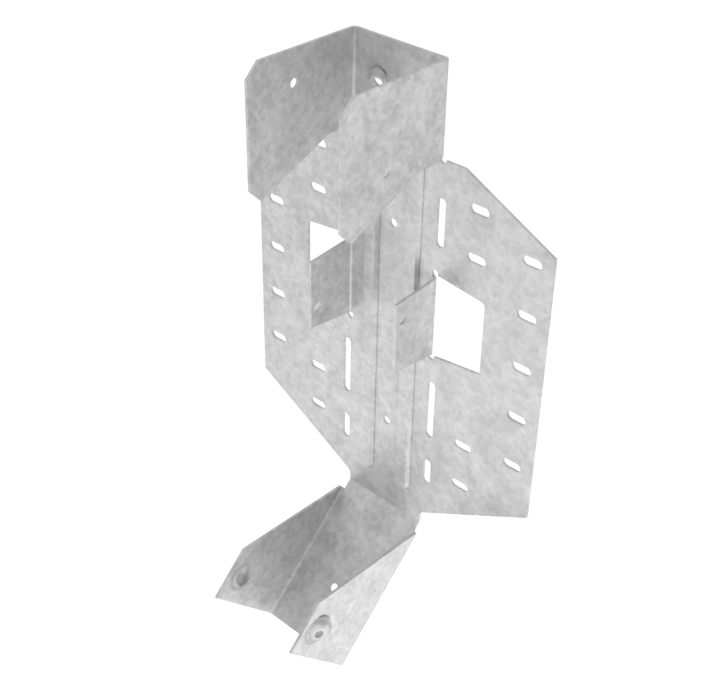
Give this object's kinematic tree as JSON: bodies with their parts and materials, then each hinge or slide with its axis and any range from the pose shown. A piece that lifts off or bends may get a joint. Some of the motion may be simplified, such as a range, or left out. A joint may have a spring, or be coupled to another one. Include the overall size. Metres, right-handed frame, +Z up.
{
  "type": "joist hanger",
  "caption": "Sloped-seat joist hanger folded from one galvanised steel sheet, with a nailing plate, two channel walls, two tabs and a seat with sides.",
  "frame": {"origin": "on the flat back face, on the centre plane, level with the middle row of nail slots", "axes": "+Z up along the back plate, -Y forwards to where the joist lies, +X to the right seen from the front"},
  "size_m": [0.1852, 0.1004, 0.3223],
  "materials": {
    "galvanised_steel": "hot-dip galvanised, light mottled grey, satin"
  },
  "bodies": {
    "root": {"folded_hanger": "galvanised_steel"}
  },
  "joints": []
}
